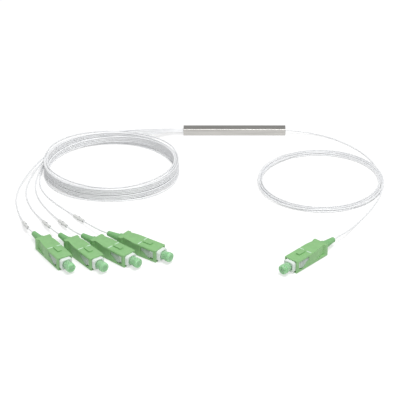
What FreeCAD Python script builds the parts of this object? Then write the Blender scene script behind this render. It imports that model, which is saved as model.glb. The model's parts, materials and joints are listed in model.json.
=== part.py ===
import FreeCAD
import Part
import Sketcher
import math
import os
import re

# One-by-four optical splitter: a slim steel tube with the splitting chip inside, one coiled input
# fibre, four coiled output fibres, a numbered sleeve on each output, and a push-pull plug on every
# free end.  The origin is under the middle of the steel tube, +X points to its input end, +Z is up
# and everything lies on z = 0.  Each plug is drawn along its own +X, with its axis as its X axis and
# its grip's front face at x = 0, and is then put in its place.

Vector = FreeCAD.Vector
doc = FreeCAD.newDocument("fibre_splitter")
sheet = doc.addObject("Spreadsheet::Sheet", "Sizes")

SIZES = [
    # steel tube and what it holds
    ("tube_length", 60.0, "length of the steel tube"),
    ("tube_width", 5.5, "width of the steel tube"),
    ("tube_height", 4.2, "height of the steel tube"),
    ("tube_wall", 0.4, "wall of the steel tube"),
    ("tube_corner", 0.5, "outer corner radius of the steel tube"),
    ("seal_length", 4.0, "length of each end seal"),
    ("seal_gap", 0.03, "gap between an end seal and the tube"),
    ("seal_hole", 1.0, "fibre hole in an end seal"),
    ("output_pitch", 1.1, "spacing of the four output holes"),
    ("chip_length", 12.0, "length of the splitting chip"),
    ("chip_width", 2.5, "width of the splitting chip"),
    ("chip_height", 1.6, "height of the chip's base glass"),
    ("lid_height", 0.7, "height of the cover glass on chip and fibre blocks"),
    ("block_length", 8.0, "length of a fibre block"),
    ("block_lid", 5.0, "length of the cover glass on a fibre block"),
    ("chip_lift", 0.1, "bedding under the chip"),
    ("bare_fibre", 0.25, "diameter of a coated fibre inside the tube"),
    ("ribbon_pitch", 0.25, "spacing of the output fibres on their block"),
    # buffered fibres
    ("fibre", 0.9, "diameter of a buffered fibre"),
    ("fibre_entry", 2.5, "how far a fibre reaches into an end seal"),
    ("fibre_straight", 2.0, "how far a fibre runs straight out of the tube"),
    ("input_coil_long", 34.3, "half length of the input coil's mean turn"),
    ("input_coil_short", 32.9, "half width of the input coil's mean turn"),
    ("input_coil_band", 2.4, "width of the input coil's bundle"),
    ("input_coil_height", 2.3, "height of the input coil's bundle"),
    ("output_coil_long", 36.8, "half length of the output coil's mean turn"),
    ("output_coil_short", 33.7, "half width of the output coil's mean turn"),
    ("output_coil_band", 2.8, "width of the output coil's bundle"),
    ("output_coil_height", 7.7, "height of the output coil's bundle"),
    ("marker_length", 8.0, "length of a numbered sleeve"),
    ("marker_outer", 1.9, "outer diameter of a numbered sleeve"),
    ("marker_bore", 1.3, "bore of a numbered sleeve"),
    # grip of a plug
    ("grip_length", 25.4, "length of the grip"),
    ("grip_width", 9.0, "width of the grip"),
    ("grip_height", 7.4, "height of the grip"),
    ("grip_edge", 0.4, "bevel of the grip's long edges"),
    ("grip_nose", 0.5, "bevel of the grip's front corners"),
    ("waist_start", 15.4, "from the front face to where the sides turn in"),
    ("waist_end", 22.0, "from the front face to the narrow part"),
    ("waist_depth", 1.0, "how far each side turns in"),
    ("waist_rail", 1.6, "height of the rail left straight under the narrow part"),
    ("lip_length", 2.0, "length of the rear lip at its full width"),
    ("lip_step", 0.8, "length of the step from the narrow part to the lip"),
    ("rear_drop", 0.3, "how far top and bottom slope in at the rear"),
    ("rear_wall", 6.4, "wall at the rear of the grip"),
    ("window_front", 1.7, "from the front face to the side window"),
    ("window_rear", 10.0, "from the front face to the window's rear edge"),
    ("window_height", 5.0, "height of the side window"),
    ("key_front", 5.7, "from the front face to the key"),
    ("key_rear", 10.9, "from the front face to the key's rear end"),
    ("key_width", 2.4, "width of the key"),
    ("key_height", 0.8, "height of the key"),
    ("mark_place", 11.6, "from the front face to the line marks"),
    ("mark_width", 0.7, "width of a line mark"),
    ("mark_depth", 0.12, "depth of a line mark"),
    ("mark_gap", 0.5, "from the key to a line mark"),
    # plug frame inside the grip
    ("frame_front", 1.9, "how far the frame stands out of the grip"),
    ("frame_rear", 15.5, "from the grip's front face to the frame's rear"),
    ("frame_width", 6.8, "width of the plug frame"),
    ("frame_height", 6.0, "height of the plug frame"),
    ("frame_corner", 0.9, "bevel of the frame's long corners"),
    ("frame_bevel", 0.3, "bevel of the frame's front edges"),
    ("slide_gap", 0.06, "running gap between grip and frame"),
    ("mouth_bore", 5.0, "bore that takes the mating sleeve"),
    ("mouth_depth", 5.5, "depth of that bore"),
    ("frame_web", 0.9, "web between the two bores"),
    ("spring_bore", 4.7, "bore that takes flange and spring"),
    ("lug_height", 0.8, "height of a side lug"),
    ("lug_tall", 4.2, "width of a side lug across the frame"),
    ("grip_travel", 2.0, "how far the grip slides back on the frame"),
    ("lug_gap", 0.1, "gap between a lug and the end of its window"),
    # ferrule, flange, spring and stop ring
    ("ferrule_size", 2.5, "diameter of the ferrule"),
    ("ferrule_length", 10.5, "length of the ferrule"),
    ("ferrule_tip", 2.2, "how far the ferrule stands out of the frame"),
    ("ferrule_bevel", 0.4, "bevel of the ferrule's tip"),
    ("polish_angle", 8.0, "slope of the polished end, in degrees"),
    ("ferrule_gap", 0.1, "gap round the ferrule in the web"),
    ("press_gap", 0.01, "gap of a pressed or glued seat"),
    ("flange_gap", 0.05, "gap between the flange and the web"),
    ("flange_size", 4.4, "diameter over the flange's corners"),
    ("flange_length", 1.6, "length of the flange"),
    ("barrel_size", 3.0, "diameter of the flange's barrel"),
    ("barrel_length", 4.0, "length of the flange's barrel"),
    ("barrel_bore", 1.0, "bore of the barrel"),
    ("spring_size", 3.8, "mean diameter of the spring"),
    ("spring_wire", 0.4, "thickness of the spring's wire"),
    ("spring_turns", 4.0, "turns of the spring"),
    ("spring_gap", 0.05, "gap at each end of the spring"),
    ("ferrule_travel", 1.0, "how far the ferrule can be pushed back"),
    ("stop_length", 2.6, "how far the stop ring reaches into the frame"),
    ("stop_gap", 0.05, "gap between the stop ring and its bore"),
    ("shoulder_size", 5.6, "diameter of the stop ring's shoulder"),
    ("shoulder_length", 1.0, "length of the shoulder"),
    ("neck_size", 3.4, "diameter of the stop ring's neck"),
    ("neck_length", 5.5, "length of the neck"),
    ("neck_bore", 1.6, "bore through the stop ring"),
    # boot and dust cap
    ("boot_rear", 35.8, "from the grip's front face to the end of the boot"),
    ("boot_size", 5.4, "diameter of the boot's collar, which runs in the grip"),
    ("boot_collar", 27.6, "from the grip's front face to the end of that collar"),
    ("boot_taper", 4.5, "diameter of the boot behind the collar"),
    ("boot_end", 3.2, "diameter of the boot at its end"),
    ("boot_gap", 0.1, "running gap between grip and boot"),
    ("boot_wall_gap", 0.05, "gap between the boot and the neck inside it"),
    ("boot_bore", 1.0, "fibre bore of the boot"),
    ("boot_entry", 3.0, "how far the fibre reaches into the boot"),
    ("cap_front", 7.1, "from the grip's front face to the cap's end"),
    ("cap_room", 0.2, "room left behind the cap when the ferrule is pushed back"),
    ("cap_stem", 4.8, "diameter of the cap's stem"),
    ("cap_head", 5.3, "diameter of the cap's head"),
    ("cap_head_length", 2.6, "length of the cap's head"),
    ("cap_bevel", 0.3, "bevel of the cap's end"),
    ("cap_wall", 1.0, "thickness of the cap's end"),
    ("cap_gap", 0.04, "gap between the cap and the ferrule"),
]

# where each plug lies: its front face's middle and the way it points, in degrees from +X
PLUGS = {
    "input": (27.6, -154.9, -132.2),
    "output_1": (-91.7, -152.4, -58.6),
    "output_2": (-74.7, -152.3, -53.4),
    "output_3": (-57.7, -148.7, -43.1),
    "output_4": (-41.4, -143.3, -36.8),
}
for plug, (across, along, heading) in PLUGS.items():
    SIZES.append((plug + "_across", across, plug + " plug, front face in X"))
    SIZES.append((plug + "_along", along, plug + " plug, front face in Y"))
    SIZES.append((plug + "_heading", heading, plug + " plug, the way it points"))

# where each coil lies: the middle of its mean turn
SIZES += [
    ("input_coil_across", 47.9, "middle of the input coil in X"),
    ("input_coil_along", -59.05, "middle of the input coil in Y"),
    ("output_coil_across", -70.9, "middle of the output coil in X"),
    ("output_coil_along", -46.1, "middle of the output coil in Y"),
]

# Routes of the fibres where they aren't coiled.  The input fibre runs from the tube to its coil and
# from the coil to its plug; the four output fibres leave the tube side by side.
INPUT_LEAD = [
    (37.0, -0.4, 1.8),
    (46.5, -1.8, 1.1),
    (56.5, -6.4, 0.6),
    (66.2, -14.6, 0.5),
    (74.6, -25.8, 0.5),
    (79.6, -37.2, 0.5),
    (82.2, -48.3, 0.5),
]
TAILS = {
    "input": [
        (81.7, -70.9, 0.5),
        (78.9, -80.6, 0.5),
        (74.4, -91.2, 0.5),
        (68.6, -101.8, 0.5),
        (62.6, -112.6, 1.3),
    ],
    "output_1": [
        (-104.2, -27.9, 4.6),
        (-110.6, -38.0, 4.2),
        (-117.0, -50.5, 2.8),
        (-121.8, -64.0, 1.2),
        (-123.5, -79.0, 0.5),
        (-120.8, -94.0, 0.6),
        (-118.2, -103.0, 1.2),
    ],
    "output_2": [
        (-105.7, -30.4, 3.5),
        (-110.5, -40.5, 3.2),
        (-115.3, -52.0, 2.2),
        (-118.2, -64.5, 0.8),
        (-117.6, -77.5, 0.5),
        (-114.0, -89.5, 0.5),
        (-108.6, -100.5, 0.9),
    ],
    "output_3": [
        (-107.4, -34.0, 2.4),
        (-110.9, -45.5, 2.1),
        (-113.4, -57.5, 1.2),
        (-112.8, -70.5, 0.5),
        (-109.3, -82.5, 0.5),
        (-101.6, -97.2, 0.6),
    ],
    "output_4": [
        (-109.2, -39.5, 1.3),
        (-111.0, -50.5, 1.1),
        (-111.3, -62.0, 0.7),
        (-107.8, -73.0, 0.5),
        (-101.0, -83.8, 0.5),
        (-91.8, -95.0, 0.6),
    ],
}
# the middle of the four output leads, their spacing, and how far their row has turned upright
OUTPUT_LEADS = [
    (-37.0, -0.6, 2.4, 1.10, 0.0),
    (-47.0, -5.4, 4.2, 1.00, 30.0),
    (-57.0, -9.4, 5.8, 0.97, 65.0),
    (-66.0, -10.7, 5.9, 0.95, 90.0),
]
# how far a fibre runs straight out of its boot, how much lower it then is, and how far along the
# run before that its numbered sleeve sits
STRAIGHT_OUT = 8.0
SAG = 0.2
SLEEVE_PLACE = {"output_1": 0.54, "output_2": 0.43, "output_3": 0.43, "output_4": 0.32}
# Round steps are prisms of this many sides, which keeps sixty pieces light.  Those in sight have
# more sides, fibres and the holes for them fewer.
ROUND_SIDES = 16
SIGHT_SIDES = 20
COIL_SIDES = 36
HOLE_SIDES = 12
TUBE_SIDES = 5
SPRING_SIDES = 8
# the four output fibres, counted from the middle of their row
RANKS = (1.5, 0.5, -0.5, -1.5)

# two places nearer than this are the same
CLOSE = 1e-6

for row, (alias, value, meaning) in enumerate(SIZES, start=1):
    sheet.set("A%d" % row, meaning)
    sheet.set("B%d" % row, str(value))
    sheet.setAlias("B%d" % row, alias)
doc.recompute()


def worked(text):
    """The number that an expression of the size sheet's names gives."""
    return float(sheet.evalExpression(str(text)))


def tied(text):
    """The same expression as another object of the document writes it."""
    names = {alias for alias, value, meaning in SIZES}
    return re.sub(r"[a-z]\w*", lambda word: "Sizes." * (word[0] in names) + word[0], str(text))


# ---------------------------------------------------------------- helpers for bodies and sketches


def new_body(name):
    """An empty body with its node's name."""
    body = doc.addObject("PartDesign::Body", name)
    body.Label = name
    return body


def seat(item, plug):
    """Puts a piece that was drawn along a plug's axis in that plug's place."""
    turn = FreeCAD.Rotation(Vector(0, 0, 1), worked(plug + "_heading"))
    item.Placement = FreeCAD.Placement(Vector(0, 0, 0), turn)
    item.setExpression("Placement.Base.x", tied(plug + "_across"))
    item.setExpression("Placement.Base.y", tied(plug + "_along"))
    item.setExpression("Placement.Base.z", tied("grip_height / 2"))
    return item


def plug_frame_of(plug):
    """The placement of everything on a plug."""
    turn = FreeCAD.Rotation(Vector(0, 0, 1), worked(plug + "_heading"))
    base = Vector(worked(plug + "_across"), worked(plug + "_along"), worked("grip_height / 2"))
    return FreeCAD.Placement(base, turn)


def outline(body, name, role, loops, lift="0"):
    """A sketch of closed loops of straight lines on one of the body's planes.  Each corner is held
    by two distances from the origin, and each distance is bound to the size sheet."""
    sketch = body.newObject("Sketcher::SketchObject", body.Name + "_" + name)
    for feature in body.Origin.OriginFeatures:
        if feature.Role == role:
            sketch.AttachmentSupport = [(feature, "")]
    sketch.MapMode = "FlatFace"
    sketch.setExpression("AttachmentOffset.Base.z", tied(lift))
    for corners in loops:
        first = sketch.GeometryCount
        places = [Vector(worked(across), worked(up), 0) for across, up in corners]
        for start, end in zip(places, places[1:] + places[:1]):
            sketch.addGeometry(Part.LineSegment(start, end), False)
        for step, corner in enumerate(corners):
            line = first + step
            after = first + (step + 1) % len(corners)
            sketch.addConstraint(Sketcher.Constraint("Coincident", line, 2, after, 1))
            for kind, size in zip(("DistanceX", "DistanceY"), corner):
                held = Sketcher.Constraint(kind, -1, 1, line, 1, worked(size))
                number = sketch.addConstraint(held)
                sketch.setExpression("Constraints[%d]" % number, tied(size))
    return sketch


def box_loop(left, right, bottom, top):
    """The four corners of a rectangle."""
    return [(left, bottom), (right, bottom), (right, top), (left, top)]


def stepped(body, kind, name, start, end, size, sides=ROUND_SIDES, middle=("0", "0")):
    """Adds or cuts away one round step of a body, from one place along X to another."""
    prism = body.newObject("PartDesign::%sPrism" % kind, "%s_%s" % (body.Name, name))
    prism.Polygon = sides
    prism.setExpression("Circumradius", tied("(%s) / 2" % size))
    prism.setExpression("Height", tied("(%s) - (%s)" % (end, start)))
    prism.Placement.Rotation = FreeCAD.Rotation(Vector(0, 1, 0), 90)
    for axis, place in zip("xyz", (start,) + middle):
        prism.setExpression("Placement.Base." + axis, tied(place))
    doc.recompute()
    return prism


def extrude(body, kind, sketch, length, both_ways=False, backwards=False):
    """A pad or a pocket of a sketch."""
    feature = body.newObject("PartDesign::" + kind, sketch.Name + "_" + kind.lower())
    feature.Profile = sketch
    feature.setExpression("Length", tied(length))
    if both_ways:
        feature.SideType = "Symmetric"
    feature.Reversed = backwards
    doc.recompute()
    return feature


def softened(body, kind, base, size, wanted):
    """A fillet or a chamfer on those edges of a feature that pass a test."""
    names = ["Edge%d" % (n + 1) for n, edge in enumerate(base.Shape.Edges) if wanted(edge)]
    feature = body.newObject("PartDesign::" + kind, base.Name + "_" + kind.lower())
    feature.Base = (base, names)
    feature.setExpression("Radius" if kind == "Fillet" else "Size", tied(size))
    doc.recompute()
    return feature


def frustum(body, name, start, end, size, far_size, sides):
    """A tapering round step: a prism whose sides lean in from its end towards its start."""
    prism = stepped(body, "Additive", name, start, end, size, sides)
    sloping = []
    for number, face in enumerate(prism.Shape.Faces, start=1):
        if abs(face.normalAt(0, 0).x) < CLOSE:
            sloping.append("Face%d" % number)
    plane = body.newObject("PartDesign::Plane", prism.Name + "_plane")
    plane.Placement.Rotation = FreeCAD.Rotation(Vector(0, 1, 0), 90)
    plane.setExpression("Placement.Base.x", tied(end))
    draft = body.newObject("PartDesign::Draft", prism.Name + "_draft")
    draft.Base = (prism, sloping)
    draft.NeutralPlane = (plane, [""])
    flat = math.cos(math.pi / sides)
    lean = "atan({0} * ({1} - {2}) / 2 / ({3} - ({4})))".format(flat, size, far_size, end, start)
    draft.setExpression("Angle", tied(lean))
    draft.Reversed = True
    doc.recompute()
    return draft


def on_plane(place):
    """A test for edges that lie wholly at one place along X."""
    reach = worked(place)
    return lambda edge: all(abs(vertex.X - reach) < CLOSE for vertex in edge.Vertexes)


def lengthwise(edge):
    """True for a straight edge along X."""
    way = edge.valueAt(edge.LastParameter) - edge.valueAt(edge.FirstParameter)
    return abs(way.y) < CLOSE and abs(way.z) < CLOSE


def given_shape(name, shape):
    """A plain feature that holds a finished shape."""
    item = doc.addObject("Part::Feature", name)
    item.Label = name
    item.Shape = shape
    return item


# ---------------------------------------------------------------- steel tube and what it holds


def steel_tube():
    """Drawn flat tube with rounded corners, open at both ends."""
    body = new_body("steel_tube")
    section = box_loop("-tube_width / 2", "tube_width / 2", "0", "tube_height")
    sketch = outline(body, "section", "YZ_Plane", [section])
    block = extrude(body, "Pad", sketch, "tube_length", both_ways=True)
    softened(body, "Fillet", block, "tube_corner", lengthwise)
    inner = box_loop(
        "tube_wall - tube_width / 2",
        "tube_width / 2 - tube_wall",
        "tube_wall",
        "tube_height - tube_wall",
    )
    sketch = outline(body, "inside", "YZ_Plane", [inner])
    extrude(body, "Pocket", sketch, "tube_length", both_ways=True)


def end_seal(name, front, rear, places):
    """Plug of sealing compound in one end of the tube, with a hole for each fibre."""
    body = new_body(name)
    gap = "(tube_wall + seal_gap)"
    across = "tube_width / 2 - " + gap
    section = box_loop("-(" + across + ")", across, gap, "tube_height - " + gap)
    sketch = outline(body, "section", "YZ_Plane", [section], lift=rear)
    extrude(body, "Pad", sketch, "seal_length")
    for number, place in enumerate(places, start=1):
        middle = (place, "tube_height / 2")
        hole = "hole_%d" % number
        stepped(body, "Subtractive", hole, rear, front, "seal_hole", HOLE_SIDES, middle)


def glass_block(name, front, lid_from, lid_to, length):
    """A base glass with a cover glass on part of it, lying on its bedding in the tube."""
    body = new_body(name)
    floor = "tube_wall + chip_lift"
    step = floor + " + chip_height"
    top = step + " + lid_height"
    rear = front + " + " + length
    corners = [
        (front, floor),
        (rear, floor),
        (rear, step),
        (lid_to, step),
        (lid_to, top),
        (lid_from, top),
        (lid_from, step),
        (front, step),
    ]
    outline_corners = []
    for corner in corners:
        if not outline_corners or not same_place(corner, outline_corners[-1]):
            outline_corners.append(corner)
    if same_place(outline_corners[0], outline_corners[-1]):
        outline_corners.pop()
    sketch = outline(body, "side", "XZ_Plane", [outline_corners])
    extrude(body, "Pad", sketch, "chip_width", both_ways=True)


def same_place(one, other):
    """True when two corners have the same numbers."""
    return all(abs(worked(a) - worked(b)) < CLOSE for a, b in zip(one, other))


def rod(start, end, size):
    """A thin straight rod with few sides between two points."""
    return swept(Part.Wire([Part.LineSegment(start, end).toShape()]), start, end - start, size)


def bare_fibres():
    """The coated fibres between the end seals and the glass blocks."""
    size = worked("bare_fibre")
    height = worked("tube_wall + chip_lift + chip_height + bare_fibre / 2")
    seal_face = worked("tube_length / 2 - seal_length")
    block_face = worked("chip_length / 2 + block_length")
    lid_face = worked("chip_length / 2 + block_lid")
    middle = worked("tube_height / 2")
    ends = [(1, 0.0, 0.0)]
    for rank in RANKS:
        ends.append((-1, rank * worked("output_pitch"), rank * worked("ribbon_pitch")))
    strands = []
    for side, far, near in ends:
        start = Vector(side * seal_face, far, middle)
        bend = Vector(side * block_face, near, height)
        lying = rod(bend, Vector(side * lid_face, near, height), size)
        strands.append(rod(start, bend, size).fuse(lying).Solids[0])
    given_shape("bare_fibres", Part.Compound(strands))


# ---------------------------------------------------------------- fibres, coils and sleeves


def swept(wire, start, way, size):
    """A thin tube with few sides of that diameter along a wire."""
    frame = FreeCAD.Placement(start, FreeCAD.Rotation(Vector(0, 0, 1), way))
    corners = []
    for side in range(TUBE_SIDES):
        angle = 2 * math.pi * side / TUBE_SIDES
        corner = Vector(math.cos(angle), math.sin(angle), 0) * (size / 2)
        corners.append(frame.multVec(corner))
    ring = Part.makePolygon(corners + corners[:1])
    return wire.makePipeShell([ring], True, False)


def routed(name, points, size):
    """A fibre along straight runs joined by tangent arcs.  Each arc's radius is 0.45 of the shorter
    run over the tangent of half the turn."""
    edges = []
    begin = points[0]
    length = 0.0
    radii = []
    for before, corner, after in zip(points, points[1:], points[2:]):
        back = (before - corner).normalize()
        ahead = (after - corner).normalize()
        half_turn = (math.pi - back.getAngle(ahead)) / 2
        reach = 0.45 * min((before - corner).Length, (after - corner).Length)
        radius = reach / math.tan(half_turn)
        start = corner + back * reach
        end = corner + ahead * reach
        inward = (back + ahead).normalize()
        middle = corner + inward * (radius / math.cos(half_turn) - radius)
        edges.append(Part.LineSegment(begin, start).toShape())
        edges.append(Part.Arc(start, middle, end).toShape())
        length += (start - begin).Length + 2 * half_turn * radius
        radii.append(round(radius, 1))
        begin = end
    edges.append(Part.LineSegment(begin, points[-1]).toShape())
    length += (points[-1] - begin).Length
    tube = swept(Part.Wire(edges), points[0], points[1] - points[0], size)
    section = TUBE_SIDES / 2 * math.sin(2 * math.pi / TUBE_SIDES) * (size / 2) ** 2
    ratio = tube.Volume / section / length
    print(name, "length", round(length, 1), "radii", radii, "volume ratio", round(ratio, 4))
    return tube


def vectors(points):
    """A list of points as vectors."""
    return [Vector(*point) for point in points]


def tail(plug):
    """The fibre from its coil into the boot of its plug; gives its points too."""
    frame = plug_frame_of(plug)
    rear = -worked("boot_rear")
    points = vectors(TAILS[plug])
    points.append(frame.multVec(Vector(rear - STRAIGHT_OUT, 0, -SAG)))
    points.append(frame.multVec(Vector(rear, 0, 0)))
    inside = frame.multVec(Vector(rear + worked("boot_entry"), 0, 0))
    shape = routed(plug + "_tail", points, worked("fibre"))
    stub = rod(points[-1], inside, worked("fibre"))
    given_shape(plug + "_tail", shape.fuse(stub).Solids[0])
    return points


def output_leads():
    """The four output fibres from the tube to their coil, side by side and then upright."""
    exit_face = -worked("tube_length / 2")
    height = worked("tube_height / 2")
    tubes = []
    for number, rank in enumerate(RANKS, start=1):
        along = rank * worked("output_pitch")
        points = [Vector(exit_face + worked("fibre_entry"), along, height)]
        points.append(Vector(exit_face - worked("fibre_straight"), along, height))
        for middle_x, middle_y, middle_z, pitch, upright in OUTPUT_LEADS:
            lean = math.radians(upright)
            offset = Vector(0, math.cos(lean), math.sin(lean)) * (rank * pitch)
            points.append(Vector(middle_x, middle_y, middle_z) + offset)
        tubes.append(routed("output_lead_%d" % number, points, worked("fibre")))
    given_shape("output_leads", Part.Compound(tubes))


def input_lead():
    """The input fibre from the tube to its coil."""
    height = worked("tube_height / 2")
    inside = Vector(worked("tube_length / 2 - fibre_entry"), 0, height)
    outside = Vector(worked("tube_length / 2 + fibre_straight"), 0, height)
    points = [inside, outside] + vectors(INPUT_LEAD)
    given_shape("input_lead", routed("input_lead", points, worked("fibre")))


def coil(name):
    """The outer shape of a coil's bundle of turns: an oval ring that stands on the ground."""
    body = new_body(name)
    loops = []
    for sign in ("+", "-"):
        corners = []
        for corner in range(COIL_SIDES):
            angle = 360 * corner / COIL_SIDES
            across = "({0}_long {1} {0}_band / 2) * cos({2})".format(name, sign, angle)
            along = "({0}_short {1} {0}_band / 2) * sin({2})".format(name, sign, angle)
            corners.append((across, along))
        loops.append(corners)
    sketch = outline(body, "turns", "XY_Plane", loops)
    extrude(body, "Pad", sketch, name + "_height")
    body.setExpression("Placement.Base.x", tied(name + "_across"))
    body.setExpression("Placement.Base.y", tied(name + "_along"))


def number_sleeve(plug, points):
    """The numbered sleeve round an output fibre, on the run before the straight one."""
    start, end = points[-3], points[-2]
    share = SLEEVE_PLACE[plug]
    sleeve = new_body("number_sleeve_" + plug[-1])
    half = "marker_length / 2"
    stepped(sleeve, "Additive", "outer", "-" + half, half, "marker_outer", HOLE_SIDES)
    stepped(sleeve, "Subtractive", "bore", "-" + half, half, "marker_bore", HOLE_SIDES)
    turn = FreeCAD.Rotation(Vector(1, 0, 0), end - start)
    sleeve.Placement = FreeCAD.Placement(start + (end - start) * share, turn)


# ---------------------------------------------------------------- plugs


def grip(plug):
    """Outer push-pull housing: a box with side windows and a key, narrower near its rear."""
    body = new_body(plug + "_grip")
    half = "grip_width / 2"
    side = [
        ("0", half + " - grip_nose"),
        ("-grip_nose", half),
        ("-grip_length", half),
    ]
    mirrored = [(across, "-(" + up + ")") for across, up in reversed(side)]
    sketch = outline(body, "plan", "XY_Plane", [side + mirrored])
    block = extrude(body, "Pad", sketch, "grip_height", both_ways=True)
    top = worked("grip_height / 2")
    wide = worked(half)

    def outer_corner(edge):
        place = edge.Vertexes[0].Point
        at_corner = abs(abs(place.z) - top) < CLOSE and abs(abs(place.y) - wide) < CLOSE
        return lengthwise(edge) and at_corner

    softened(body, "Chamfer", block, "grip_edge", outer_corner)
    high = "grip_height / 2"
    lip = "lip_length - grip_length"
    waists = []
    for sign in ("", "-"):
        narrow = sign + "(" + half + " - waist_depth)"
        waist = [
            ("-waist_start", sign + "(" + half + ")"),
            ("-waist_end", narrow),
            (lip + " + lip_step", narrow),
            (lip, sign + "(" + half + ")"),
            (lip, sign + "grip_width"),
            ("-waist_start", sign + "grip_width"),
        ]
        waists.append(waist)
    sketch = outline(body, "waists", "XY_Plane", waists, lift=high)
    extrude(body, "Pocket", sketch, "grip_height - waist_rail")
    wedges = []
    for sign in ("", "-"):
        slope = [
            ("-waist_end", sign + "(" + high + ")"),
            ("-grip_length", sign + "(" + high + " - rear_drop)"),
            ("-grip_length - 1", sign + "(" + high + ")"),
        ]
        wedges.append(slope)
    sketch = outline(body, "slopes", "XZ_Plane", wedges)
    extrude(body, "Pocket", sketch, "grip_width", both_ways=True)
    inner = box_loop(
        "-(frame_width / 2 + slide_gap)",
        "frame_width / 2 + slide_gap",
        "-(frame_height / 2 + slide_gap)",
        "frame_height / 2 + slide_gap",
    )
    sketch = outline(body, "inside", "YZ_Plane", [inner])
    extrude(body, "Pocket", sketch, "grip_length - rear_wall")
    round_hole = "boot_size + 2 * boot_gap"
    stepped(body, "Subtractive", "rear_hole", "-grip_length", "0", round_hole, SIGHT_SIDES)
    window = box_loop("-window_rear", "-window_front", "-window_height / 2", "window_height / 2")
    sketch = outline(body, "windows", "XZ_Plane", [window])
    extrude(body, "Pocket", sketch, "grip_width", both_ways=True)
    key = box_loop("-key_rear", "-key_front", "-key_width / 2", "key_width / 2")
    sketch = outline(body, "key", "XY_Plane", [key], lift=high)
    extrude(body, "Pad", sketch, "key_height")
    lines = []
    for near, far in (("", ""), ("-", "-")):
        inside = near + "(key_width / 2 + mark_gap)"
        outside = far + "(grip_width / 2 - grip_edge)"
        lines.append(box_loop("-mark_place - mark_width", "-mark_place", inside, outside))
    sketch = outline(body, "marks", "XY_Plane", lines, lift=high)
    extrude(body, "Pocket", sketch, "mark_depth")
    seat(body, plug)


def plug_frame(plug):
    """White inner frame that clicks into an adapter: a stepped bore and a lug in each window."""
    body = new_body(plug + "_plug_frame")
    half, high, cut = "frame_width / 2", "frame_height / 2", "frame_corner"
    section = [
        (half, high + " - " + cut),
        (half + " - " + cut, high),
        (cut + " - " + half, high),
        ("-" + half, high + " - " + cut),
        ("-" + half, cut + " - " + high),
        (cut + " - " + half, "-" + high),
        (half + " - " + cut, "-" + high),
        (half, cut + " - " + high),
    ]
    sketch = outline(body, "section", "YZ_Plane", [section], lift="frame_front")
    block = extrude(body, "Pad", sketch, "frame_front + frame_rear", backwards=True)
    softened(body, "Chamfer", block, "frame_bevel", on_plane("frame_front"))
    lug = box_loop(
        "lug_gap - window_rear",
        "-(window_front + grip_travel + lug_gap)",
        "-lug_tall / 2",
        "lug_tall / 2",
    )
    sketch = outline(body, "lugs", "XZ_Plane", [lug])
    extrude(body, "Pad", sketch, "frame_width + 2 * lug_height", both_ways=True)
    web_front = "frame_front - mouth_depth"
    web_rear = web_front + " - frame_web"
    ferrule_hole = "ferrule_size + 2 * ferrule_gap"
    stepped(body, "Subtractive", "mouth", web_front, "frame_front", "mouth_bore")
    stepped(body, "Subtractive", "web_hole", web_rear, "frame_front", ferrule_hole)
    stepped(body, "Subtractive", "rear_bore", "-frame_rear", web_rear, "spring_bore")
    seat(body, plug)


TIP = "(frame_front + ferrule_tip)"
CAP_MOUTH = "(frame_front - mouth_depth + ferrule_travel + cap_room)"
FLANGE_FACE = "(frame_front - mouth_depth - frame_web - flange_gap)"
STOP_FACE = "(stop_length - frame_rear)"


def ferrule(plug):
    """Ceramic ferrule with a bevelled tip and a sloping polished end."""
    body = new_body(plug + "_ferrule")
    rear = TIP + " - ferrule_length"
    rod_step = stepped(body, "Additive", "rod", rear, TIP, "ferrule_size")
    softened(body, "Chamfer", rod_step, "ferrule_bevel", on_plane(TIP))
    radius = "ferrule_size / 2"
    drop = "ferrule_size * tan(polish_angle)"
    wedge = [
        (TIP, radius),
        (TIP + " - " + drop, "-" + radius),
        (TIP, "-" + radius),
    ]
    sketch = outline(body, "polish", "XZ_Plane", [wedge])
    extrude(body, "Pocket", sketch, "ferrule_size", both_ways=True)
    seat(body, plug)


def ferrule_flange(plug):
    """Metal holder of the ferrule: a six-sided flange with a barrel that guides the spring."""
    body = new_body(plug + "_ferrule_flange")
    flange_rear = FLANGE_FACE + " - flange_length"
    barrel_rear = flange_rear + " - barrel_length"
    ferrule_rear = TIP + " - ferrule_length"
    ferrule_seat = "ferrule_size + 2 * press_gap"
    stepped(body, "Additive", "flange", flange_rear, FLANGE_FACE, "flange_size", 6)
    stepped(body, "Additive", "barrel", barrel_rear, FLANGE_FACE, "barrel_size")
    stepped(body, "Subtractive", "seat", ferrule_rear, FLANGE_FACE, ferrule_seat)
    stepped(body, "Subtractive", "bore", barrel_rear, FLANGE_FACE, "barrel_bore", HOLE_SIDES)
    seat(body, plug)


def spring(plug):
    """Compression spring behind the flange.  Its square wire runs in short straight steps round
    the barrel, from ring section to ring section."""
    front = worked(FLANGE_FACE + " - flange_length - spring_gap")
    rear = worked(STOP_FACE + " + spring_gap")
    half = worked("spring_wire / 2")
    mean = worked("spring_size / 2")
    steps = int(round(worked("spring_turns") * SPRING_SIDES))
    pitch = (front - rear - 2 * half) / steps
    sections = []
    for step in range(steps + 1):
        angle = 2 * math.pi * step / SPRING_SIDES
        middle = rear + half + pitch * step
        corners = []
        for along, out in ((-half, -half), (half, -half), (half, half), (-half, half)):
            radius = mean + out
            place = Vector(middle + along, radius * math.cos(angle), radius * math.sin(angle))
            corners.append(place)
        sections.append(Part.makePolygon(corners + corners[:1]))
    item = given_shape(plug + "_spring", Part.makeLoft(sections, True, True))
    seat(item, plug)


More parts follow.
